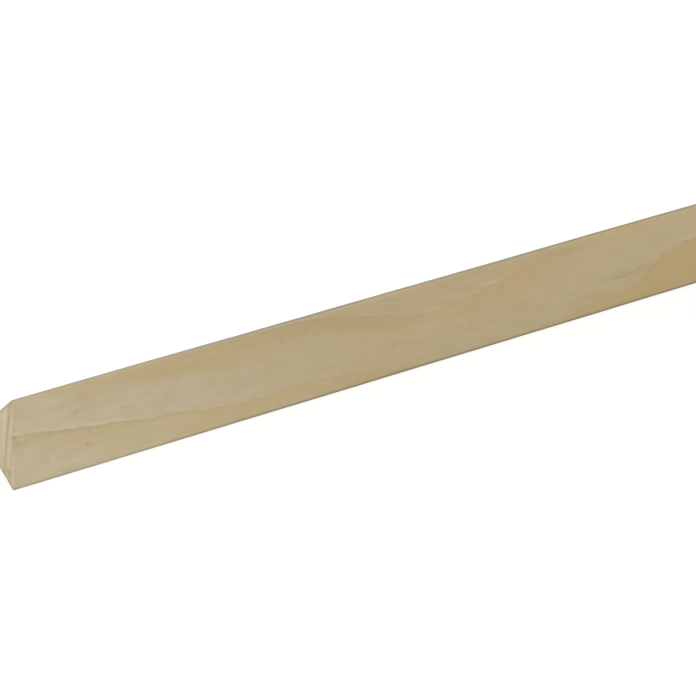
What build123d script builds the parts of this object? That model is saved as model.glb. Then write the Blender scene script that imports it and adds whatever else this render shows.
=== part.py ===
# Triangular wood fillet: one planed length of softwood with a right-angled triangular section.
#
# The strip lies on one of its two square faces, as it would on a bench.
# X runs along the length, Y runs from the upright face to the back, and Z is up.
# The origin is the middle of the face that it lies on.

import os

from build123d import *

# Driving dimensions, in millimetres
length = 1000.0  # a stock length that such fillets are sold in
base_width = 25.0  # the face that it lies on, measured over its eased arrises
upright_height = 25.0  # the upright face, measured over its eased arrises
square_arris_radius = 0.35  # the 90 degree arris, where the base meets the upright face
top_arris_radius = 0.55  # the feather arris at the top of the upright face
back_arris_radius = 0.55  # the feather arris at the back of the base

# Planes and lines that follow from them
near_end = Plane.YZ.offset(-length / 2)
front = -base_width / 2
back = base_width / 2


def triangular_section():
    """The section is the hull of its three arris rounds, so its outer sizes are the measured ones."""
    with BuildSketch(near_end) as section:
        with Locations((front + square_arris_radius, square_arris_radius)):
            Circle(square_arris_radius)
        with Locations((front + top_arris_radius, upright_height - top_arris_radius)):
            Circle(top_arris_radius)
        with Locations((back - back_arris_radius, back_arris_radius)):
            Circle(back_arris_radius)
        make_hull()
    return section.sketch


with BuildPart() as triangular_fillet:
    extrude(triangular_section(), amount=length)

triangular_fillet.part.label = "triangular_fillet"

os.makedirs("parts", exist_ok=True)
export_step(triangular_fillet.part, "parts/triangular_fillet.step")
print("faces", len(triangular_fillet.part.faces()))
print("volume cm3", round(triangular_fillet.part.volume / 1000, 2))
print("box", triangular_fillet.part.bounding_box())
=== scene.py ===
# The looks of a triangular wood fillet: one planed softwood strip with a right-angled section.
# The strip runs along X, its upright face looks towards -Y, and it lies on its base face.
# Blender works in metres. The sums on the wood itself are in millimetres: u from the near end,
# v from the upright face towards the back, and z from the bench.

import math

import bpy
import numpy as np
from mathutils import Matrix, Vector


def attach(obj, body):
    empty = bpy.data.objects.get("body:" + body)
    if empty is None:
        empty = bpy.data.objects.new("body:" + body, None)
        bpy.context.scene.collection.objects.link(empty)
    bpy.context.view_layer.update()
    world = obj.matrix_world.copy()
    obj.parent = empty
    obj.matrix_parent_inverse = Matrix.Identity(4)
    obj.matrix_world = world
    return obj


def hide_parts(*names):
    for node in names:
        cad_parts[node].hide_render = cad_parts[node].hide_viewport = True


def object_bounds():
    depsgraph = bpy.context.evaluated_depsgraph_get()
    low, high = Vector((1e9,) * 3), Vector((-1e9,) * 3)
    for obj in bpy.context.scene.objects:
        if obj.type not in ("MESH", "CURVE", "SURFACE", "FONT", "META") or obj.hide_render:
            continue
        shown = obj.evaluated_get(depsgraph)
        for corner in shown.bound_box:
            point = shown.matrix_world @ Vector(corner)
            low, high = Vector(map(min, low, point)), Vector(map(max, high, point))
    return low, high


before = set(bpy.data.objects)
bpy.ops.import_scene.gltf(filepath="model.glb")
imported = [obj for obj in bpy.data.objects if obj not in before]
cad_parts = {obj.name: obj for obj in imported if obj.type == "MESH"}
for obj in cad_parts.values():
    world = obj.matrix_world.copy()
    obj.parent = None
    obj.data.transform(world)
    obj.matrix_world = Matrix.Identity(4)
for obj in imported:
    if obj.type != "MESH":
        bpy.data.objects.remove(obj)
cad_lowest, cad_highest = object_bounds()

MILLIMETRE = 0.001
LENGTH = (cad_highest.x - cad_lowest.x) / MILLIMETRE
LEG = (cad_highest.y - cad_lowest.y) / MILLIMETRE
NEAR_END = cad_lowest.x / MILLIMETRE
FRONT = cad_lowest.y / MILLIMETRE

# ---------------------------------------------------------------- growth rings, one solid figure

RING_LEAN = math.radians(12.47)  # the rings stand this far from the upright face
RING_WIDTH = 3.958
FIRST_RING = 0.0587
RING_RUN_OUT = 0.00099  # the rings drift slowly through the strip along its length

# Places where the rings bulge: height in mm, middle and half width along the length, and how much
# more the bulge counts at the top of the strip than at its foot
BULGES = (
    (4.246, 117.4, 36.2, 0.18),
    (1.221, 31.0, 29.8, -0.74),
    (0.809, 147.7, 24.8, -2.73),
    (1.567, 64.1, 22.6, -0.11),
    (-0.541, 126.0, 13.2, 1.51),
    (-0.144, 92.1, 7.9, -1.29),
    (1.429, 171.7, 10.7, 0.05),
    (0.107, 34.9, 5.2, 0.0),
    (-0.123, 71.6, 3.0, -0.18),
    (0.081, 48.7, 3.0, 0.0),
    (0.071, 104.5, 3.0, 1.71),
    (0.207, 89.1, 6.5, 0.58),
    (-0.301, 180.2, 3.9, 0.0),
    (0.034, 18.0, 12.0, 0.0),
)
# Slow waves of the rings past the seen stretch: height in mm, length of the wave, and its start
WAVES = ((1.9, 171.0, 0.8), (1.2, 97.0, 2.1), (0.7, 58.0, 4.4))
WAVE_SLANT = 0.9  # further back in the strip the waves come earlier along it
WAVES_BEGIN = 185.0
WAVES_FULL = 250.0


def sine(angle):
    """The sine of plain numbers or of a shader socket."""
    return angle.math("SINE", angle) if isinstance(angle, Socket) else np.sin(angle)


def hump(away):
    """A smooth hill of height 1: e to the power of minus the square of a distance."""
    return math.e ** (-1.0 * (away * away))


def bell(u, middle, half_width):
    """A hump about a middle, with the distance over the half width."""
    return hump((u - middle) / half_width)


def settle(u):
    """0 in the seen stretch and 1 past it: one over one plus e to the power of minus the distance
    past the middle of the change, over an eighth of its width."""
    middle = (WAVES_BEGIN + WAVES_FULL) / 2
    reach = (WAVES_FULL - WAVES_BEGIN) / 8
    return 1.0 / (1.0 + math.e ** ((middle - u) / reach))


def ring_number(u, v, z):
    """How many rings out from the pith a point is: its distance along the ring normal, plus the
    bulges and waves that the rings have along the length, over the width of a ring. It takes
    arrays or sockets."""
    height = z / LEG - 0.5
    swell = u * RING_RUN_OUT
    for tall, middle, half_width, top_share in BULGES:
        swell = swell + bell(u, middle, half_width) * (height * (tall * top_share) + tall)
    waves = 0.0
    along = u + v * WAVE_SLANT
    for tall, wave, start in WAVES:
        waves = sine(along * (math.tau / wave) + start) * tall + waves
    swell = swell + waves * settle(u)
    across = v * math.cos(RING_LEAN) + z * math.sin(RING_LEAN)
    return (across + swell) / RING_WIDTH + FIRST_RING


# ---------------------------------------------------------------- shader sums in plain Python


class Socket:
    """One output of a shader node. In a Python sum it adds the Math node for each operator."""

    def __init__(self, finish, output):
        self.finish = finish
        self.output = output

    def math(self, operation, *values):
        settings = {"operation": operation}
        return self.finish.node("ShaderNodeMath", settings, dict(enumerate(values)))

    def other(self, name):
        """Another output of the same node."""
        return Socket(self.finish, self.output.node.outputs[name])

    def __add__(self, value):
        return self.math("ADD", self, value)

    def __radd__(self, value):
        return self.math("ADD", value, self)

    def __sub__(self, value):
        return self.math("SUBTRACT", self, value)

    def __rsub__(self, value):
        return self.math("SUBTRACT", value, self)

    def __mul__(self, value):
        return self.math("MULTIPLY", self, value)

    def __rmul__(self, value):
        return self.math("MULTIPLY", value, self)

    def __truediv__(self, value):
        return self.math("DIVIDE", self, value)

    def __rtruediv__(self, value):
        return self.math("DIVIDE", value, self)

    def __pow__(self, value):
        return self.math("POWER", self, value)

    def __rpow__(self, value):
        return self.math("POWER", value, self)


class Finish:
    """A material, or a surround, and the one way that nodes are added to it."""

    def __init__(self, name, kept_in=bpy.data.materials):
        self.material = kept_in.new(name)
        self.material.use_nodes = True
        self.tree = self.material.node_tree
        self.tree.nodes.clear()

    def node(self, kind, settings=None, values=None, output=0):
        """Adds a node: its settings first, then the number, colour or link of each socket."""
        made = self.tree.nodes.new(kind)
        for name, setting in (settings or {}).items():
            if name == "stops":
                self.set_stops(made.color_ramp, setting)
            else:
                setattr(made, name, setting)
        for name, value in (values or {}).items():
            if isinstance(value, Socket):
                self.tree.links.new(value.output, made.inputs[name])
            else:
                made.inputs[name].default_value = value
        return Socket(self, made.outputs[output]) if made.outputs else made

    def set_stops(self, ramp, stops):
        """Gives a ramp its stops, each a place and a level."""
        while len(ramp.elements) < len(stops):
            ramp.elements.new(0.5)
        for element, (place, level) in zip(ramp.elements, stops):
            element.position = place
            element.color = (level, level, level, 1.0)

    def vector(self, operation, *values):
        """Adds a Vector Math node. Its length or distance is a number."""
        output = "Value" if operation in ("LENGTH", "DISTANCE") else "Vector"
        settings = {"operation": operation}
        return self.node("ShaderNodeVectorMath", settings, dict(enumerate(values)), output)

    def rise(self, value, low, high):
        """0 below low, 1 above high, and a smooth step between them."""
        return self.node(
            "ShaderNodeMapRange",
            {"interpolation_type": "SMOOTHSTEP"},
            {"Value": value, "From Min": low, "From Max": high},
        )

    def fall(self, value, low, high):
        """1 below low, 0 above high, and a smooth step between them."""
        return 1.0 - self.rise(value, low, high)

    def between(self, value, low, full, fading, gone):
        """A rise from low to full and a fall from fading to gone, one times the other."""
        return self.rise(value, low, full) * self.fall(value, fading, gone)

    def grade(self, value, stops):
        """A level read from straight stretches between stops."""
        return self.node("ShaderNodeValToRGB", {"stops": stops}, {"Fac": value})

    def point(self, u, v, z, along=1.0, across=1.0):
        """A point for a texture, in units of a size along the grain and a size across it."""
        parts = {"X": u / along, "Y": v / across, "Z": z / across}
        return self.node("ShaderNodeCombineXYZ", None, parts)

    def cloud(self, point, detail, rough):
        """Smooth noise about 0.5, with about one wave for each unit of the point."""
        return self.node(
            "ShaderNodeTexNoise",
            {"noise_dimensions": "3D"},
            {"Vector": point, "Scale": 1.0, "Detail": detail, "Roughness": rough},
            "Fac",
        )

    def mix(self, share, first, second):
        """One colour going over into another."""
        return self.node(
            "ShaderNodeMix",
            {"data_type": "RGBA", "blend_type": "MIX", "clamp_factor": True},
            {0: share, 6: first, 7: second},
            2,
        )

    def layers(self, colour, *tints):
        """A colour with tints laid over it in turn, each with its share."""
        for share, tint in tints:
            colour = self.mix(share, colour, tint)
        return colour

    def backdrop_rays(self):
        """1 for the rays that show a backdrop: from the camera, or by way of gloss or glass."""
        path = self.node("ShaderNodeLightPath", output="Is Camera Ray")
        seen = path.math("MAXIMUM", path, path.other("Is Glossy Ray"))
        return seen.math("MAXIMUM", seen, path.other("Is Transmission Ray"))


def tone(red, green, blue):
    """A colour as a screen shows it, each part out of 255, made into linear light by the sRGB
    curve: a straight stretch at the dark end, and above it a power of 2.4."""
    parts = [part / 255 for part in (red, green, blue)]
    linear = [p / 12.92 if p <= 0.04045 else ((p + 0.055) / 1.055) ** 2.4 for p in parts]
    return (*linear, 1.0)


# ---------------------------------------------------------------- the wood

# Smooth noise in the wood: size along the grain and across it in mm, detail and roughness
CLOUDS = (
    (20.0, 5.0, 2.0, 0.5),  # drift of the rings
    (4.0, 1.5, 2.0, 0.6),  # shiver of the rings
    (9.0, 0.8, 2.0, 0.6),  # fraying of the rings in the ripe stretch
    (30.0, 8.0, 2.0, 0.5),  # slow patches
    (7.0, 2.4, 2.0, 0.6),  # mottling
    (26.0, 1.0, 3.0, 0.6),  # soft streaks
    (2.6, 0.2, 3.0, 0.65),  # fine fibres
    (1.0, 0.12, 2.0, 0.6),  # pores of the sawn ends
)
FLECK_SIZE = (2.8, 1.6)  # along the grain and across it

# Levels through one ring, from its inner edge at 0 to the inner edge of the next ring at 1
LATE_WOOD = (
    (0.0, 1.0), (0.01, 0.0), (0.55, 0.04), (0.68, 0.2), (0.76, 0.55), (0.86, 0.88), (0.96, 1.0),
)
DARK_EDGE = ((0.0, 0.6), (0.01, 0.0), (0.93, 0.0), (0.985, 1.0))
PALE_LIP = ((0.002, 0.0), (0.010, 1.0), (0.03, 0.85), (0.075, 0.0))
PALE_BANK = ((0.004, 0.0), (0.014, 1.0), (0.07, 0.9), (0.2, 0.0))
END_BAND = (
    (0.0, 0.8), (0.1, 0.42), (0.18, 0.16), (0.28, 0.0),
    (0.56, 0.0), (0.65, 0.16), (0.74, 0.5), (0.83, 0.9), (0.9, 1.0), (0.97, 0.9),
)

SAW_CENTRE = (-70.0, 95.0)  # v and z of the middle of the arcs that the saw leaves on the ends
SAW_STROKE = 1.15  # from one stroke of the saw to the next
SAW_SUNK = 0.02  # how far an end lies inside its rim, and the waves that the saw leaves on it:
SAW_WAVES = ((0.02, 5.2, 0.0), (0.015, 13.0, 1.0))  # height, length and start
PLANER_RIPPLE = 1.6  # from one ripple of the planer to the next
RELIEF_DEPTH = 0.06  # of the fine relief, which is too fine for the skin

# Single marks on the near stretch, and painted shade at the near end's foot: middle (u, v, z) and
# half sizes in mm, and strength
DARK_MARKS_AND_SHADE = (
    ((168.0, 0.0, 9.7), (4.5, 2.0, 0.7), 0.30),
    ((174.5, 0.0, 9.9), (4.0, 2.0, 1.1), 0.26),
    ((122.5, 0.0, 7.2), (3.4, 2.0, 1.1), 0.14),
    ((137.0, 0.0, 8.9), (3.6, 2.0, 0.7), 0.12),
    ((158.5, 0.0, 6.4), (3.8, 2.0, 1.1), 0.12),
    ((149.0, 0.0, 22.9), (10.0, 2.0, 1.5), 0.11),
    ((118.0, 0.0, 24.0), (11.0, 2.0, 1.1), 0.14),
    ((42.0, 0.0, 23.0), (32.0, 2.0, 3.5), 0.06),
    ((3.0, 0.0, 12.9), (5.0, 2.0, 1.2), 0.16),
    ((41.0, 0.0, 17.8), (2.5, 1.5, 1.0), 0.12),
    ((66.0, 0.0, 24.2), (20.0, 2.0, 0.7), 0.09),
    ((104.0, 0.0, 1.0), (4.0, 2.0, 0.9), 0.12),
    ((146.0, 0.0, 1.0), (4.0, 2.0, 1.0), 0.18),
    ((100.3, 0.0, 9.6), (0.8, 1.5, 0.6), 0.26),
    ((18.8, 0.0, 7.3), (0.6, 1.0, 0.4), 0.20),
    ((29.1, 0.0, 11.6), (0.6, 1.0, 0.4), 0.26),
    ((0.6, 0.3, 18.2), (0.9, 0.9, 0.35), 0.65),
    ((0.6, 0.3, 17.0), (0.9, 0.9, 0.35), 0.60),
    ((0.6, 0.3, 14.9), (0.9, 0.7, 0.40), 0.75),
    ((0.2, 3.0, 3.4), (2.0, 1.0, 0.4), 0.60),
    ((0.2, 4.4, 2.7), (2.0, 1.0, 0.4), 0.60),
    ((1.5, 0.9, 23.65), (0.6, 0.5, 0.35), 0.60),
    ((1.2, 0.5, 22.6), (2.0, 1.2, 1.6), 0.16),
    # darkens the near end's foot
    ((0.4, 0.5, 2.2), (1.2, 2.0, 2.6), 0.12),
    # painted shade where the near end's front corner meets the floor
    ((0.2, 0.4, 0.0), (1.0, 1.9, 0.45), 0.95),
)
PALE_MARKS = (
    ((1.5, 6.5, 15.5), (2.0, 2.0, 4.0), 0.25),
    ((50.0, 0.0, 2.5), (45.0, 2.0, 5.0), 0.04),
    ((3.7, 0.0, 10.8), (0.9, 1.0, 0.35), 0.35),
    ((10.0, 0.0, 6.1), (0.6, 1.0, 0.5), 0.36),
    ((18.1, 0.0, 8.4), (0.6, 1.0, 0.4), 0.20),
    ((42.9, 0.0, 9.2), (0.8, 1.0, 0.4), 0.30),
    ((53.4, 0.0, 6.9), (0.9, 1.0, 0.3), 0.28),
    ((106.0, 0.0, 24.8), (20.0, 2.0, 0.35), 0.12),
    ((158.0, 0.0, 23.5), (22.0, 2.0, 0.7), 0.06),
    ((112.0, 0.0, 12.7), (8.0, 2.0, 2.5), 0.08),
    ((168.0, 0.0, 22.0), (6.0, 2.0, 1.5), 0.12),
    ((23.0, 0.0, 1.0), (5.0, 2.0, 0.8), 0.12),
    ((110.7, 0.0, 16.9), (1.0, 1.0, 0.3), 0.18),
    ((123.8, 0.0, 18.3), (0.8, 1.0, 0.3), 0.18),
    ((128.0, 0.0, 19.5), (1.3, 1.0, 0.4), 0.28),
    ((170.8, 0.0, 11.2), (1.5, 1.0, 0.4), 0.08),
    ((187.9, 0.0, 15.8), (1.0, 1.0, 0.4), 0.18),
)


def late_wood(wood, u, rings, phase):
    """How late the wood is, from 0 to 1. It grows towards the sharp outer edge of each ring, and
    a few stretches of single rings are late as well: the most of all of them counts."""
    late = wood.grade(phase, LATE_WOOD)
    stretches = (
        # A darker heart streak in the first ring, from the middle of the seen stretch on
        wood.fall(rings, 0.975, 1.0) * wood.between(u, 128.0, 156.0, 240.0, 330.0),
        # The second ring is broad near the end
        wood.between(rings, 1.38, 1.62, 1.97, 2.0) * wood.fall(u, 48.0, 84.0) * 0.9,
        # Its edge grows soft past its lowest point, and so does the first ring's at its foot
        wood.between(u, 126.0, 137.0, 168.0, 196.0)
        * wood.between(rings, 1.96, 2.0, 2.0, 2.34) * 0.9,
        wood.between(u, 144.0, 154.0, 166.0, 180.0)
        * wood.between(rings, 0.96, 1.0, 1.0, 1.2) * 0.7,
        # The second ring's edge has a bank beside it where it climbs
        wood.between(rings, 1.96, 2.0, 2.0, 2.11) * bell(u, 88.0, 9.0) * 0.8,
    )
    for stretch in stretches:
        late = late.math("MAXIMUM", late, stretch)
    return late


def single_marks(wood, point, marks):
    """The strength of single marks at a point: a hump for each, in all three directions, added."""
    strength_here = 0.0
    for centre, sizes, strength in marks:
        away = wood.vector("DIVIDE", wood.vector("SUBTRACT", point, centre), sizes)
        strength_here = strength_here + hump(wood.vector("LENGTH", away)) * strength
    return strength_here


def planed_softwood():
    """Pale softwood: one solid figure of rings, fibres along it, planed sides and sawn ends."""
    wood = Finish("planed_softwood")
    where = wood.node("ShaderNodeTexCoord", output="Object")
    split = wood.node("ShaderNodeSeparateXYZ", None, {0: where})
    u = split / MILLIMETRE - NEAR_END
    v = split.other("Y") / MILLIMETRE - FRONT
    z = split.other("Z") / MILLIMETRE
    sawn = wood.node("ShaderNodeAttribute", {"attribute_name": "sawn"}, output="Fac")
    # painted shade along the arrises, darkest at the base arris beside the floor
    eased = wood.node("ShaderNodeAttribute", {"attribute_name": "eased"}, output="Fac")
    mellow = wood.rise(u, 4.0, 100.0)
    ripe = wood.rise(u, 145.0, 176.0)
    drift, shiver, fray, patches, mottle, streaks, fibres, pores = (
        wood.cloud(wood.point(u, v, z, along, across), detail, rough)
        for along, across, detail, rough in CLOUDS
    )

    # The rings, a little unsteady
    rings = ring_number(u, v, z)
    rings = rings + (drift - 0.5) * 0.03 + (shiver - 0.5) * 0.05 + (fray - 0.5) * ripe * 0.3
    phase = rings.math("FRACT", rings)
    late = late_wood(wood, u, rings, phase)

    # Short flecks along the grain, most of them dark and some pale
    fleck = wood.node(
        "ShaderNodeTexVoronoi",
        {"feature": "F1"},
        {"Vector": wood.point(u, v, z, *FLECK_SIZE), "Scale": 1.0},
        "Distance",
    )
    chance = wood.node("ShaderNodeSeparateColor", None, {0: fleck.other("Color")})
    flecks = wood.fall(fleck, 0.08, 0.4)
    dark_flecks = flecks * wood.rise(chance, 0.76, 0.98)
    pale_flecks = flecks * wood.fall(chance, 0.02, 0.17)

    # The planed faces: early and late wood, the tints of single stretches, and the texture
    early_tone = wood.mix(mellow, tone(194, 181, 153), tone(184, 168, 134))
    late_tone = wood.mix(mellow, tone(188, 171, 131), tone(182, 163, 121))
    late_tone = wood.mix(ripe, late_tone, tone(182, 159, 114))
    first_ring = wood.fall(rings, 0.98, 1.0) * wood.fall(u, 50.0, 110.0)
    third_ring = wood.rise(rings, 2.0, 2.08) * bell(u, 106.0, 28.0)
    warm = bell(u, 134.0, 30.0) * bell(z, 17.0, 8.0) * 0.3
    warm = warm + wood.rise(patches, 0.46, 0.7) * (0.3 - bell(u, 172.0, 11.0) * 0.25)
    climb = bell(u, 88.0, 17.0) * bell(rings, 1.87, 0.13)
    edge = climb * 0.38 + bell(u, 18.0, 13.0) * 0.22 + 0.06
    lip = bell(u, 17.0, 14.0) * 1.35 + bell(u, 175.0, 6.0) * 0.2 + 0.06
    lip = lip * ((shiver - 0.36) * 3.2)
    lip_tone = tone(204, 193, 166)
    planed = wood.layers(
        wood.mix(late, early_tone, late_tone),
        (first_ring * 0.17, tone(208, 194, 160)),
        (third_ring * 0.14, tone(158, 147, 124)),
        (warm, tone(189, 161, 119)),
        (climb * 0.3, tone(160, 144, 110)),
        (wood.grade(phase, DARK_EDGE) * edge, tone(152, 134, 98)),
        (wood.grade(phase, PALE_LIP) * lip, lip_tone),
        (wood.grade(phase, PALE_BANK) * bell(u, 56.0, 16.0) * 0.17, lip_tone),
        ((mottle - 0.5) * 0.9 + 0.08, tone(168, 148, 103)),
        ((streaks - 0.5) * 0.3 + 0.05, tone(168, 149, 112)),
        ((fibres - 0.5) * 0.4 + 0.06, tone(160, 139, 101)),
        (dark_flecks * (0.29 - mellow * 0.12), tone(148, 128, 98)),
        (pale_flecks * (0.28 - mellow * 0.21), tone(212, 200, 174)),
    )

    # The sawn ends: paler, with the rings crossing them and the saw's arcs
    band = wood.grade(phase, END_BAND)
    clear = bell(rings, 1.88, 0.45) * (bell(z, 15.0, 7.0) * 0.45 + 0.45)
    clear = clear + bell(rings, 1.0, 0.3) * 0.3 + 0.25
    on_the_end = wood.node("ShaderNodeCombineXYZ", None, {"Y": v, "Z": z})
    from_saw = wood.vector("DISTANCE", on_the_end, (0.0, *SAW_CENTRE))
    teeth = sine(from_saw * (math.tau / SAW_STROKE) + (streaks - 0.5) * 9.0)
    cut = wood.layers(
        tone(199, 184, 151),
        (band * clear, tone(167, 151, 118)),
        ((pores - 0.5) * 0.8 + 0.1, tone(168, 150, 116)),
        ((mottle - 0.5) * 1.2 + 0.06, tone(170, 154, 120)),
        (teeth * 0.04 + 0.04, tone(160, 144, 112)),
    )

    # The top arris is a little bleached and the face below it warm, painted shade darkens every
    # arris, most of all the base arris beside the floor, and the single marks come last
    bleached = wood.rise(z, 24.38, 24.62) * (1.0 - sawn * 0.7)
    warm_top = wood.between(z, 22.0, 23.6, 24.45, 24.7) * (1.0 - sawn)
    warm_top = warm_top * (bell(u, 25.0, 35.0) + bell(u, 105.0, 18.0) + bell(u, 165.0, 18.0))
    arris_shade_tone = wood.mix(mellow, tone(138, 131, 114), tone(130, 119, 90))
    point = wood.point(u, v, z)
    dark_marks_and_shade = single_marks(wood, point, DARK_MARKS_AND_SHADE) * ((shiver - 0.5) * 3.0 + 1.0)
    pale_marks = single_marks(wood, point, PALE_MARKS) * (shiver + 0.5)
    colour = wood.layers(
        wood.mix(sawn, planed, cut),
        (bleached * 0.28, tone(194, 187, 163)),
        (warm_top * 0.13, tone(202, 172, 108)),
        # painted shade along the arrises
        (eased * (mellow * 0.45 + 0.55), arris_shade_tone),
        (dark_marks_and_shade, tone(146, 127, 94)),
        (pale_marks, tone(212, 201, 174)),
    )

    # Fine relief: proud late wood, fibres, planer ripples, and on the ends the saw's arcs
    ripple = sine(u * (math.tau / PLANER_RIPPLE) + (drift - 0.5) * 3.0)
    side_height = late * 0.35 + fibres * 0.5 + ripple * 0.06 - dark_flecks * 0.6
    end_height = teeth * 0.35 + pores * 0.9 + band * 0.3
    height = side_height + (end_height - side_height) * sawn
    depth = RELIEF_DEPTH * MILLIMETRE
    relief = wood.node(
        "ShaderNodeBump", None, {"Strength": 0.5, "Distance": depth, "Height": height}
    )
    roughness = 0.56 + (fibres - 0.5) * 0.16 - late * 0.05 + sawn * 0.24
    surface = wood.node(
        "ShaderNodeBsdfPrincipled",
        None,
        {
            "Base Color": colour,
            "Roughness": roughness,
            "Specular IOR Level": 0.3,
            "Normal": relief,
        },
    )
    wood.node("ShaderNodeOutputMaterial", None, {"Surface": surface})
    return wood.material


# ---------------------------------------------------------------- the strip

SQUARE, BACK, TOP = 0, 1, 2  # the arrises, in the order that the outline meets them
ARRIS_RADII = (0.35, 0.55, 0.55)
ARRIS_SEEDS = (3, 5, 8)  # of the way that each arris wavers along the length
ARC_POINTS = (6, 10, 14)  # points round each arris
# For the base, the slope and the upright face: the points along each, apart from those beside the
# arrises, its length over the flat, near enough, and its outward direction
RUN_POINTS = (20, 28, 54)
RUN_LENGTHS = (23.3, 33.8, 23.3)
FACE_ANGLES = (-math.pi / 2, math.pi / 4, math.pi)
BESIDE_ARRIS = (0.12, 0.3, 0.55, 0.9)  # the places of the points that a face has beside an arris
SLOPE_SHARE = math.sqrt(0.5)
MIDDLE = np.array([FRONT + LEG * (1 - SLOPE_SHARE), LEG * (1 - SLOPE_SHARE)])  # of the section

ARRIS_SHADE = (1.0, 0.6, 0.62)  # how much painted shade darkens each arris
ARRIS_SHADE_REACH = (0.40, 0.30, 0.10)  # and how far over the faces beside it, in mm
# Round the top arris the painted shade ends at this angle, and fades over this much before it
TOP_SHADE_ENDS, TOP_SHADE_FADE = math.radians(165.0), math.radians(35.0)
END_RIM_SHADE = (1.5, 0.95, 0.95)  # the painted shade on an end's rim, from each arris to the next
END_RIM_SHADE_REACH = 0.055  # as a share of the way to the middle of the end

NEAR_CUT = (0.0443, 0.0609)  # how far the near cut runs in for each mm backwards and upwards
FAR_CUT = (0.018, 0.012)
CUT_REACH = 24.0  # the slant of a cut, and the fine rows beside it, go over this much length
FIRST_ROW = 0.35
ROWS_BETWEEN = 526  # even rows between the fine ones
EASED_ROWS = 5  # rows of the quarter round that eases an end
CAP_RINGS = np.concatenate([[0.992, 0.975], np.linspace(0.95, 0.05, 19)])  # sizes, in an end
CAP_RIM = 0.06  # an end reaches its full depth at this share of the way in
LATE_PROUD = 0.012  # how far late wood stands out of a face
UNFLAT = 0.012  # how far a face strays from flat along its length

# Small bruises on the arrises: place along the length, half length and depth in mm, and the arris
BRUISES = (
    (236.0, 2.4, 0.30, TOP),
    (401.0, 4.0, 0.22, TOP),
    (655.0, 1.8, 0.35, TOP),
    (902.0, 3.0, 0.25, TOP),
    (148.0, 2.0, 0.30, BACK),
    (520.0, 3.5, 0.35, BACK),
    (777.0, 2.2, 0.25, BACK),
    (333.0, 1.6, 0.14, SQUARE),
)


def wander(along, seed, wave):
    """A smooth irregular line: six sines of near lengths and mixed starts, added and levelled."""
    random = np.random.default_rng(seed)
    waves = wave * random.uniform(0.45, 2.2, 6)
    starts = random.uniform(0.0, math.tau, 6)
    angle = np.asarray(along)[..., None] * (math.tau / waves) + starts
    return np.sin(angle).sum(-1) / math.sqrt(6)


def graded_steps(first, last, growth, reach):
    """Places from 0 to reach whose steps grow from first to last."""
    steps = [0.0]
    step = first
    while steps[-1] + step < reach:
        steps.append(steps[-1] + step)
        step = min(step * growth, last)
    return np.array(steps)


def rows_along():
    """Rows along the length: fine next to the ends and even between them."""
    near = graded_steps(0.12, 1.75, 1.22, CUT_REACH) + FIRST_ROW
    even = np.linspace(near[-1], LENGTH - near[-1], ROWS_BETWEEN + 2)[1:-1]
    return np.concatenate([near, even, LENGTH - near[::-1]])


def outline_plan():
    """For each point round the section: the arris it belongs to, its outward angle, and its share
    of the way to the next arris. An arris is an arc, and a face is a straight run."""
    owners, angles, shares = [], [], []
    for arris in (SQUARE, BACK, TOP):
        start = FACE_ANGLES[arris - 1]
        turn = (FACE_ANGLES[arris] - start) % math.tau
        arc = start + turn * np.linspace(0.0, 1.0, ARC_POINTS[arris])
        beside = np.array(BESIDE_ARRIS) / RUN_LENGTHS[arris]
        run = np.linspace(beside[-1], 1 - beside[-1], RUN_POINTS[arris] + 2)[1:-1]
        run = np.concatenate([beside, run, 1 - beside[::-1]])
        owners += [arris] * (len(arc) + len(run))
        angles += [*arc, *np.full(len(run), FACE_ANGLES[arris])]
        shares += [*np.zeros(len(arc)), *run]
    return np.array(owners), np.array(angles), np.array(shares)


def arris_radii(along):
    """The radii of the arrises along the length. Each wavers slowly and quickly, the top arris is
    worn at the near end, and a bruise adds a bell."""
    radii = np.tile(ARRIS_RADII, (len(along), 1)).astype(float)
    for arris, seed in enumerate(ARRIS_SEEDS):
        slow, quick = wander(along, seed, 60.0), wander(along, seed + 20, 9.0)
        radii[:, arris] *= 1 + 0.10 * slow + 0.06 * quick
    radii[:, TOP] += 0.15 * bell(along, 0.0, 1.3)
    for middle, half_length, deep, arris in BRUISES:
        radii[:, arris] += deep * bell(along, middle, half_length)
    return radii


def section_points(radii, owners, angles, shares):
    """Points round the section for rows of arris radii, and their outward directions. Each arris
    is a circle that touches its two faces, and a point on a face lies on the straight line between
    the circles' touching points."""
    slope_place = (FRONT + LEG) * SLOPE_SHARE + ARRIS_RADII[TOP]
    normals = np.array([[math.cos(a), math.sin(a)] for a in FACE_ANGLES])
    places = np.array([0.0, slope_place, -FRONT])
    centres = []
    for arris in (SQUARE, BACK, TOP):
        pair = [arris - 1, arris]
        corner = np.linalg.solve(normals[pair], places[pair])
        lean = np.linalg.solve(normals[pair], np.ones(2))
        centres.append(corner - radii[:, arris, None] * lean)
    centres = np.stack(centres, 1)
    outward = np.stack([np.cos(angles), np.sin(angles)], -1)
    following = (owners + 1) % 3
    here = centres[:, owners] + radii[:, owners, None] * outward
    there = centres[:, following] + radii[:, following, None] * outward
    return here * (1 - shares[:, None]) + there * shares[:, None], outward


def clear_of_front(owners, angles):
    """1 round the outline, but 0 on the upright face, and fading to 0 at the front of the top
    arris."""
    top_share = np.clip((TOP_SHADE_ENDS - angles) / TOP_SHADE_FADE, 0.0, 1.0)
    return np.where(owners == TOP, top_share, 1.0)


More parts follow.
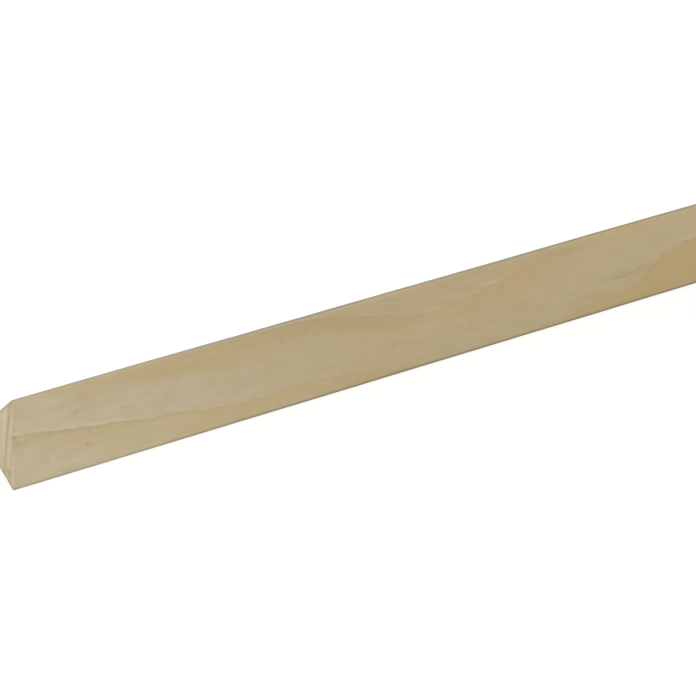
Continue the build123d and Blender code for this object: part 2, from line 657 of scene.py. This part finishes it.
def arris_shade_levels(owners, angles, shares):
    """How much painted shade darkens each point of the outline: full on an arris, and fading as a
    hump over the face beside it. The top arris has none at its front."""
    shade_strength, reach = np.array(ARRIS_SHADE), np.array(ARRIS_SHADE_REACH)
    length = np.array(RUN_LENGTHS)[owners]
    following = (owners + 1) % 3
    leaving = hump(shares * length / reach[owners]) * shade_strength[owners]
    coming = hump((1 - shares) * length / reach[following]) * shade_strength[following]
    return np.maximum(leaving * clear_of_front(owners, angles), coming)


def cut_depth(cut, v, z):
    """How far a sawn end lies inside a square one: a plane that runs in with v and with z."""
    return cut[0] * v + cut[1] * z


def sawn_cap(edge, inward, cut, end):
    """A sawn end: rings of the edge's shape that shrink towards a point. They lie in the plane of
    the cut, sunk inside the rim by a level and by sines of the distance from the saw's centre."""
    flat = MIDDLE + (edge[:, 1:] - MIDDLE) * CAP_RINGS[:, None, None]
    v = flat[..., 0] - FRONT
    z = flat[..., 1]
    reach = np.hypot(v - SAW_CENTRE[0], z - SAW_CENTRE[1])
    sunk = SAW_SUNK
    for tall, wave, start in SAW_WAVES:
        sunk = sunk + tall * np.sin(reach * (math.tau / wave) + start)
    sunk = sunk * np.clip((1 - CAP_RINGS) / CAP_RIM, 0.0, 1.0)[:, None]
    sunk = sunk + cut_depth(cut, v, z)
    return np.concatenate([(NEAR_END + end + inward * sunk)[..., None], flat], -1)


def closed_skin(name, grid, fields):
    """A closed mesh from rings of points, given in mm: four-sided faces between the rings, and a
    fan of triangles to a pole at each end. Each field becomes an attribute, and has its name, its
    values on the grid and its value at the poles."""
    levels, girth = grid.shape[:2]
    poles = np.array([[ring[:, 0].mean(), *MIDDLE] for ring in (grid[0], grid[-1])])
    points = np.concatenate([grid.reshape(-1, 3), poles]) * MILLIMETRE
    here = np.arange(girth)
    beside = (here + 1) % girth
    base = (np.arange(levels - 1) * girth)[:, None]
    corners = [base + here, base + beside, base + beside + girth, base + here + girth]
    quads = np.stack(corners, -1).reshape(-1, 4)
    last = (levels - 1) * girth
    pole = np.full(girth, levels * girth)
    near_fan = np.stack([pole, beside, here], -1)
    far_fan = np.stack([last + here, last + beside, pole + 1], -1)

    mesh = bpy.data.meshes.new(name)
    faces = [*quads.tolist(), *near_fan.tolist(), *far_fan.tolist()]
    mesh.from_pydata(points.tolist(), [], faces)
    mesh.polygons.foreach_set("use_smooth", np.ones(len(mesh.polygons), bool))
    for field, values, at_poles in fields:
        attribute = mesh.attributes.new(field, "FLOAT", "POINT")
        values = np.append(values, [at_poles, at_poles])
        attribute.data.foreach_set("value", values.astype(np.float32))
    mesh.update()
    return mesh


def add(name, data):
    """A new object in the scene, with its mesh, lamp or lens."""
    made = bpy.data.objects.new(name, data)
    bpy.context.scene.collection.objects.link(made)
    return made


def fillet_strip():
    """The strip as one closed skin: the section's outline carried along the length, rounded over
    at both ends by quarter rounds, and closed by the sawn ends."""
    owners, angles, shares = outline_plan()
    girth = len(owners)
    rows = rows_along()

    # The quarter rounds change in size round the outline
    quarter = np.linspace(math.pi / 2, 0.0, EASED_ROWS)
    size = 0.10 + 0.05 * np.abs(wander(np.arange(girth), 11, 9.0))
    end_u = size * (1 - np.sin(quarter))[:, None]
    end_inset = size * (1 - np.cos(quarter))[:, None]
    end_sawn = np.sin(quarter) ** 2
    u = np.concatenate([end_u, np.tile(rows[:, None], girth), LENGTH - end_u[::-1]])
    inset = np.concatenate([end_inset, np.zeros((len(rows), girth)), end_inset[::-1]])
    sawn = np.concatenate([end_sawn, np.zeros(len(rows)), end_sawn[::-1]])
    section, outward = section_points(arris_radii(u.mean(1)), owners, angles, shares)

    # Both cuts are a little off square: they run in towards the top and the back
    v = section[..., 0] - FRONT
    z = section[..., 1]
    near_share = np.clip(1 - u / CUT_REACH, 0.0, 1.0)
    far_share = np.clip(1 - (LENGTH - u) / CUT_REACH, 0.0, 1.0)
    u = u + cut_depth(NEAR_CUT, v, z) * near_share - cut_depth(FAR_CUT, v, z) * far_share

    # Late wood stands a little proud of the early wood, and no face is quite flat
    phase = ring_number(u, v, z) % 1.0
    proud = LATE_PROUD * np.clip((phase - 0.5) / 0.45, 0.0, 1.0)
    unflat = UNFLAT * wander(u, 31, 140.0)
    section = section + (proud + unflat * (owners != SQUARE) - inset)[..., None] * outward
    section[..., 1] = np.maximum(section[..., 1], 0.0)

    sides = np.concatenate([(u + NEAR_END)[..., None], section], -1)
    near_cap = sawn_cap(sides[0], 1.0, NEAR_CUT, 0.0)[::-1]
    far_cap = sawn_cap(sides[-1], -1.0, FAR_CUT, LENGTH)
    grid = np.concatenate([near_cap, sides, far_cap])

    # Painted shade darkens the arrises, and on the ends the rim beside the base and the slope
    rim = np.array(END_RIM_SHADE)[owners] * clear_of_front(owners, angles)
    rim_fade = rim * hump((1 - CAP_RINGS) / END_RIM_SHADE_REACH)[:, None]
    on_sides = arris_shade_levels(owners, angles, shares) * (1 - sawn)[:, None]
    eased = np.concatenate([rim_fade[::-1], np.maximum(on_sides, rim * sawn[:, None]), rim_fade])
    ends = np.ones(len(CAP_RINGS))
    sawn = np.repeat(np.concatenate([ends, sawn, ends]), girth)
    fields = (("sawn", sawn, 1.0), ("eased", eased, 0.0))
    return add("fillet_strip", closed_skin("fillet_strip", grid, fields))


strip = fillet_strip()
strip.data.materials.append(planed_softwood())
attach(strip, "root")
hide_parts("triangular_fillet")


# ---------------------------------------------------------------- floor, light and camera

FLOOR_HALF = 30.0
FLOOR_LIT = 0.8  # the floor's white for the light that it throws back at the strip
FLOOR_SEEN = 0.45  # its white where the camera sees it near the strip, apart from the glow
FLOOR_GLOW = 0.62  # what it gives off by itself there
FLOOR_FADE = (1.0, 2.2)  # between these distances it goes over into plain white

SKY_LEVEL = 0.576
LAMP_SIZE = 1.6
NEAR_STRETCH = (-0.40, 0.0, 0.01)
# The lamps: place, the point that each lights, and power. The back one lights only what the
# photograph doesn't show
LAMPS = {
    "key": ((-2.6, -0.9, 1.7), NEAR_STRETCH, 41.0),
    "fill": ((0.9, -2.0, 1.5), NEAR_STRETCH, 17.9),
    "back": ((1.5, 2.3, 1.7), (0.0, 0.0, 0.01), 18.0),
}

CAMERA_PLACE = (-0.633195, -0.405321, 0.325496)
CAMERA_DOWN = math.radians(34.783)  # how far it looks down
CAMERA_TURN = math.radians(29.342)  # how far it is turned from +Y towards +X
CAMERA_ROLL = math.radians(-1.3016)
LENS_LENGTH = 116.71
SENSOR_WIDTH = 36.0


def grey(level):
    """A grey in linear light, where 1 is white."""
    return (level, level, level, 1.0)


def pale_floor():
    """A plain white floor. The camera sees it white, softened only by the strip's own shadow, and
    far from the strip it is white by itself."""
    paper = Finish("pale_floor")
    matt = paper.node("ShaderNodeBsdfDiffuse", None, {"Color": grey(FLOOR_LIT)})
    soft = paper.node("ShaderNodeBsdfDiffuse", None, {"Color": grey(FLOOR_SEEN)})
    glow = paper.node("ShaderNodeEmission", None, {"Strength": FLOOR_GLOW})
    near = paper.node("ShaderNodeAddShader", None, {0: soft, 1: glow})
    far = paper.node("ShaderNodeEmission", None, {"Strength": 1.0})
    away = paper.vector("LENGTH", paper.node("ShaderNodeTexCoord", output="Object"))
    fade = paper.rise(away, *FLOOR_FADE)
    white = paper.node("ShaderNodeMixShader", None, {0: fade, 1: near, 2: far})
    both = paper.node("ShaderNodeMixShader", None, {0: paper.backdrop_rays(), 1: matt, 2: white})
    paper.node("ShaderNodeOutputMaterial", None, {"Surface": both})

    mesh = bpy.data.meshes.new("floor")
    reach = FLOOR_HALF
    corners = [(-reach, -reach, 0), (reach, -reach, 0), (reach, reach, 0), (-reach, reach, 0)]
    mesh.from_pydata(corners, [], [(0, 1, 2, 3)])
    mesh.materials.append(paper.material)
    return add("floor", mesh)


def soft_sky():
    """An even white surround, plain white to the camera."""
    sky = Finish("soft_sky", bpy.data.worlds)
    light = sky.node("ShaderNodeBackground", None, {"Color": grey(1.0), "Strength": SKY_LEVEL})
    white = sky.node("ShaderNodeBackground", None, {"Color": grey(1.0), "Strength": 1.0})
    both = sky.node("ShaderNodeMixShader", None, {0: sky.backdrop_rays(), 1: light, 2: white})
    sky.node("ShaderNodeOutputWorld", None, {"Surface": both})
    bpy.context.scene.world = sky.material


def turned(piece, right, up, back, place):
    """Stands a lamp or camera at a place, with its X to the right, its Y up and its Z back."""
    rows = np.stack([right, up, back, place], 1).tolist()
    piece.matrix_world = Matrix([*rows, (0.0, 0.0, 0.0, 1.0)])


def softbox(name, place, aim, power):
    """A large square lamp at a place, turned to the point that it lights."""
    lamp = bpy.data.lights.new(name, "AREA")
    lamp.shape = "SQUARE"
    lamp.size = LAMP_SIZE
    lamp.energy = power
    back = np.array(place) - np.array(aim)
    back = back / np.linalg.norm(back)
    side = np.cross([0.0, 0.0, 1.0], back)
    side = side / np.linalg.norm(side)
    turned(add(name, lamp), side, np.cross(back, side), back, place)


def photograph_camera():
    """The camera of the photograph: its forward direction from how far it looks down and turns,
    and its right and up turned about that by the roll."""
    flat = math.cos(CAMERA_DOWN)
    forward = np.array([
        math.sin(CAMERA_TURN) * flat,
        math.cos(CAMERA_TURN) * flat,
        -math.sin(CAMERA_DOWN),
    ])
    right = np.array([math.cos(CAMERA_TURN), -math.sin(CAMERA_TURN), 0.0])
    down = np.cross(forward, right)
    rolled_right = right * math.cos(CAMERA_ROLL) + down * math.sin(CAMERA_ROLL)
    rolled_up = right * math.sin(CAMERA_ROLL) - down * math.cos(CAMERA_ROLL)
    lens = bpy.data.cameras.new("camera")
    lens.sensor_width = SENSOR_WIDTH
    lens.lens = LENS_LENGTH
    lens.clip_start = 0.02
    lens.clip_end = 100.0
    camera = add("camera", lens)
    turned(camera, rolled_right, rolled_up, -forward, CAMERA_PLACE)
    bpy.context.scene.camera = camera


floor = pale_floor()
soft_sky()
for lamp_name, (place, aim, power) in LAMPS.items():
    softbox(lamp_name, place, aim, power)
photograph_camera()
bpy.context.scene.view_settings.view_transform = "Standard"
